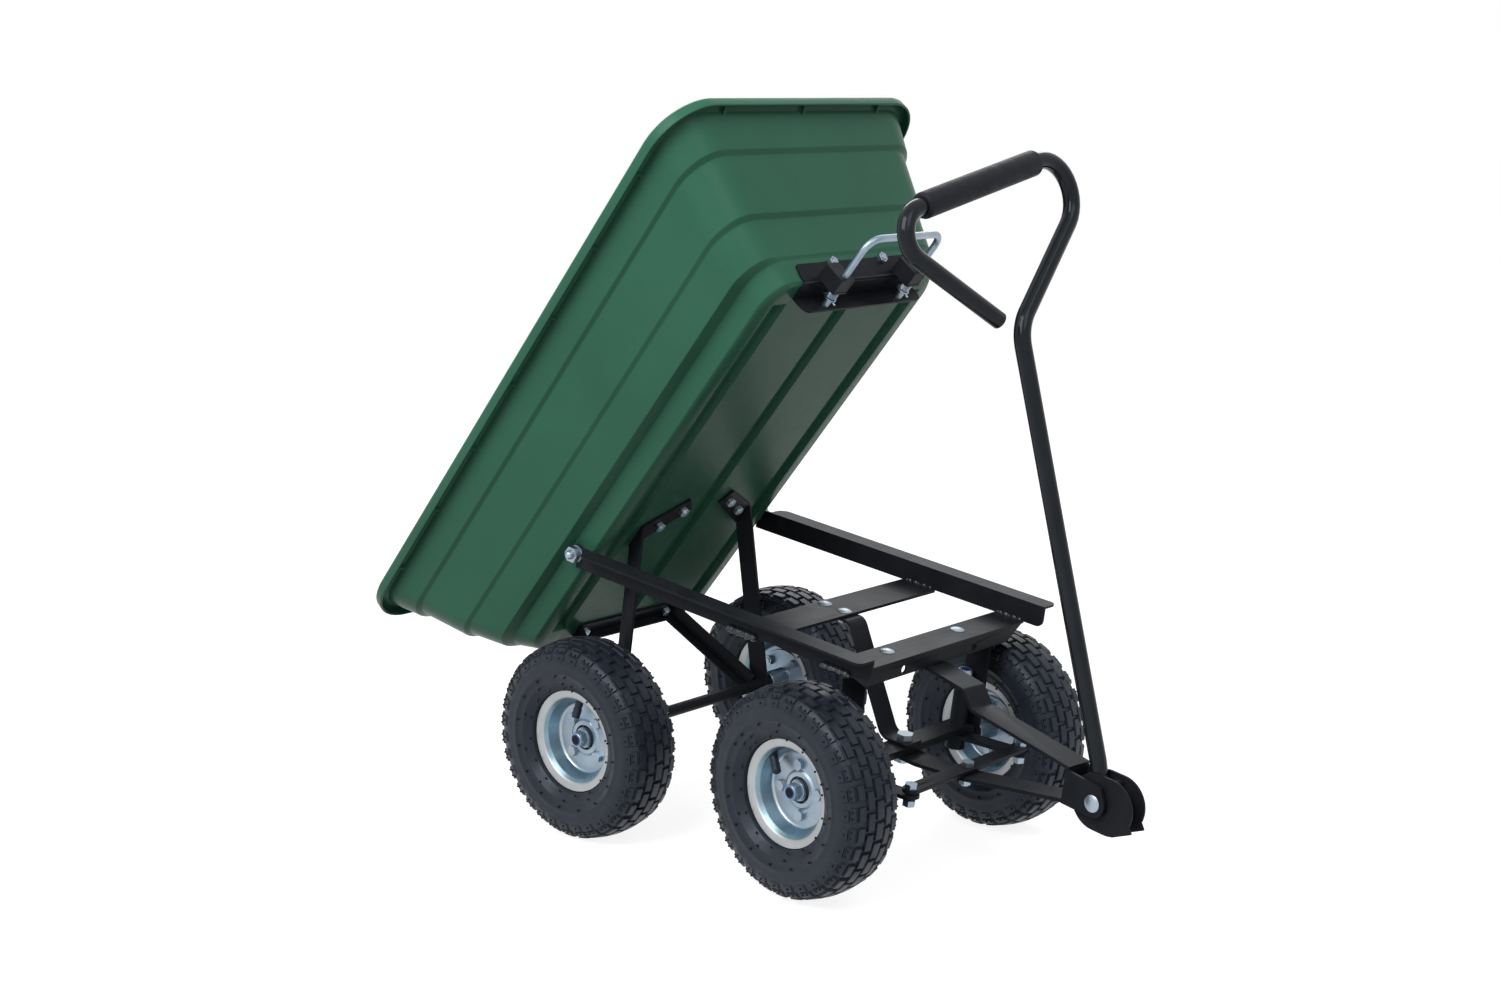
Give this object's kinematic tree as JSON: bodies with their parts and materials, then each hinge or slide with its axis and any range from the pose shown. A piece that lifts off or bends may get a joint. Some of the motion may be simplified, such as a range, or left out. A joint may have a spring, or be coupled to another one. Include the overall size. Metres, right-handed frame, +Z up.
{
  "type": "tipping dump cart",
  "caption": "Garden cart on pneumatic wheels with a moulded tray that tips back on an angle-iron frame, a steered front axle, a sprung tray latch and a folding pull handle with a looped grip.",
  "frame": {"origin": "middle of the footprint's bounding box, on the ground", "axes": "+X to the front (the pull handle), +Y to the cart's left, +Z up"},
  "size_m": [1.1145, 0.484, 0.9387],
  "materials": {
    "moulded_green": "moulded polypropylene, satin",
    "black_coat": "semi-gloss powder coat",
    "zinc": "bright zinc plate",
    "tyre_rubber": "black rubber",
    "tube_rubber": "black rubber",
    "foam": "matte foam"
  },
  "bodies": {
    "frame": {"rail_right": "black_coat", "rail_left": "black_coat", "front_cross_angle": "black_coat", "middle_cross_plate": "black_coat", "front_axle_bracket": "black_coat", "front_axle_beam": "black_coat", "centre_brace": "black_coat", "frame_fasteners": "zinc", "lower_pivot_bolt": "zinc", "upper_pivot_stud": "zinc"},
    "tray_unit": {"tray": "moulded_green", "rear_axle": "black_coat", "rear_stand": "black_coat", "brace_strap_right": "black_coat", "brace_strap_left": "black_coat", "tray_bolts": "zinc", "tray_nuts": "zinc", "hinge_bolts": "zinc", "hinge_nuts": "zinc", "latch_bracket": "black_coat", "rear_axle_nuts": "zinc"},
    "latch": {"latch_bail": "zinc", "latch_springs": "zinc", "latch_keepers": "zinc"},
    "drawbar": {"drawbar_top_strip": "black_coat", "drawbar_bottom_strip": "black_coat", "handle_clevis": "black_coat", "link_bolt": "zinc", "handle_bolt": "zinc"},
    "tie_rod": {"tie_rod": "black_coat", "tie_rod_bolts": "zinc"},
    "knuckle_right": {"knuckle_right": "black_coat", "knuckle_nuts_right": "zinc"},
    "knuckle_left": {"knuckle_left": "black_coat", "knuckle_nuts_left": "zinc"},
    "handle": {"handle_tube": "black_coat", "handle_grip": "foam", "handle_cheeks": "black_coat", "cheek_spacer": "black_coat"},
    "front_right_wheel": {"front_right_tyre": "tyre_rubber", "front_right_inner_tube": "tube_rubber", "front_right_rim": "zinc", "front_right_hub": "zinc", "front_right_rim_bolts": "zinc"},
    "front_left_wheel": {"front_left_tyre": "tyre_rubber", "front_left_inner_tube": "tube_rubber", "front_left_rim": "zinc", "front_left_hub": "zinc", "front_left_rim_bolts": "zinc"},
    "rear_right_wheel": {"rear_right_tyre": "tyre_rubber", "rear_right_inner_tube": "tube_rubber", "rear_right_rim": "zinc", "rear_right_hub": "zinc", "rear_right_rim_bolts": "zinc"},
    "rear_left_wheel": {"rear_left_tyre": "tyre_rubber", "rear_left_inner_tube": "tube_rubber", "rear_left_rim": "zinc", "rear_left_hub": "zinc", "rear_left_rim_bolts": "zinc"}
  },
  "joints": [
    {"name": "tray_tip", "type": "hinge", "parent": "frame", "child": "tray_unit", "pos_m": [-0.19558, 0, 0.36352], "axis": [0, 1, 0], "range_deg": [0, 58.11]},
    {"name": "latch_pull", "type": "slide", "parent": "tray_unit", "child": "latch", "axis": [0.6428, 0, 0.766], "range_m": [-0.009, 0.005], "deforming": ["latch_springs"]},
    {"name": "steer", "type": "hinge", "parent": "frame", "child": "drawbar", "pos_m": [0.19552, 0, 0.13099], "axis": [0.1411, 0, 0.99], "range_deg": [-19.5, 30.5]},
    {"name": "tie_rod_swing", "type": "hinge", "parent": "drawbar", "child": "tie_rod", "pos_m": [0.30097, -0.00997, 0.13717], "axis": [0.1411, 0, 0.99], "range_deg": [-30.5, 19.5]},
    {"name": "knuckle_right_turn", "type": "hinge", "parent": "frame", "child": "knuckle_right", "pos_m": [0.19552, -0.114, 0.13099], "axis": [0.1411, 0, 0.99], "range_deg": [-19.5, 30.5]},
    {"name": "knuckle_left_turn", "type": "hinge", "parent": "frame", "child": "knuckle_left", "pos_m": [0.19552, 0.114, 0.13099], "axis": [0.1411, 0, 0.99], "range_deg": [-19.5, 30.5]},
    {"name": "handle_fold", "type": "hinge", "parent": "drawbar", "child": "handle", "pos_m": [0.50454, -0.02923, 0.14754], "axis": [0.0949, 0.9954, -0.0135], "range_deg": [0, 100]},
    {"name": "front_right_roll", "type": "hinge", "parent": "knuckle_right", "child": "front_right_wheel", "pos_m": [0.18846, -0.18806, 0.132], "axis": [0.0949, 0.9954, -0.0135], "continuous": true},
    {"name": "front_left_roll", "type": "hinge", "parent": "knuckle_left", "child": "front_left_wheel", "pos_m": [0.20258, 0.18806, 0.12998], "axis": [0.0949, 0.9954, -0.0135], "continuous": true},
    {"name": "rear_right_roll", "type": "hinge", "parent": "tray_unit", "child": "rear_right_wheel", "pos_m": [-0.16308, -0.197, 0.13], "axis": [0, 1, 0], "continuous": true},
    {"name": "rear_left_roll", "type": "hinge", "parent": "tray_unit", "child": "rear_left_wheel", "pos_m": [-0.16308, 0.197, 0.13], "axis": [0, 1, 0], "continuous": true}
  ],
  "couplings": [
    {"joint": "tie_rod_swing", "follows": "steer", "ratio": -1},
    {"joint": "knuckle_right_turn", "follows": "steer", "ratio": 1},
    {"joint": "knuckle_left_turn", "follows": "steer", "ratio": 1}
  ]
}
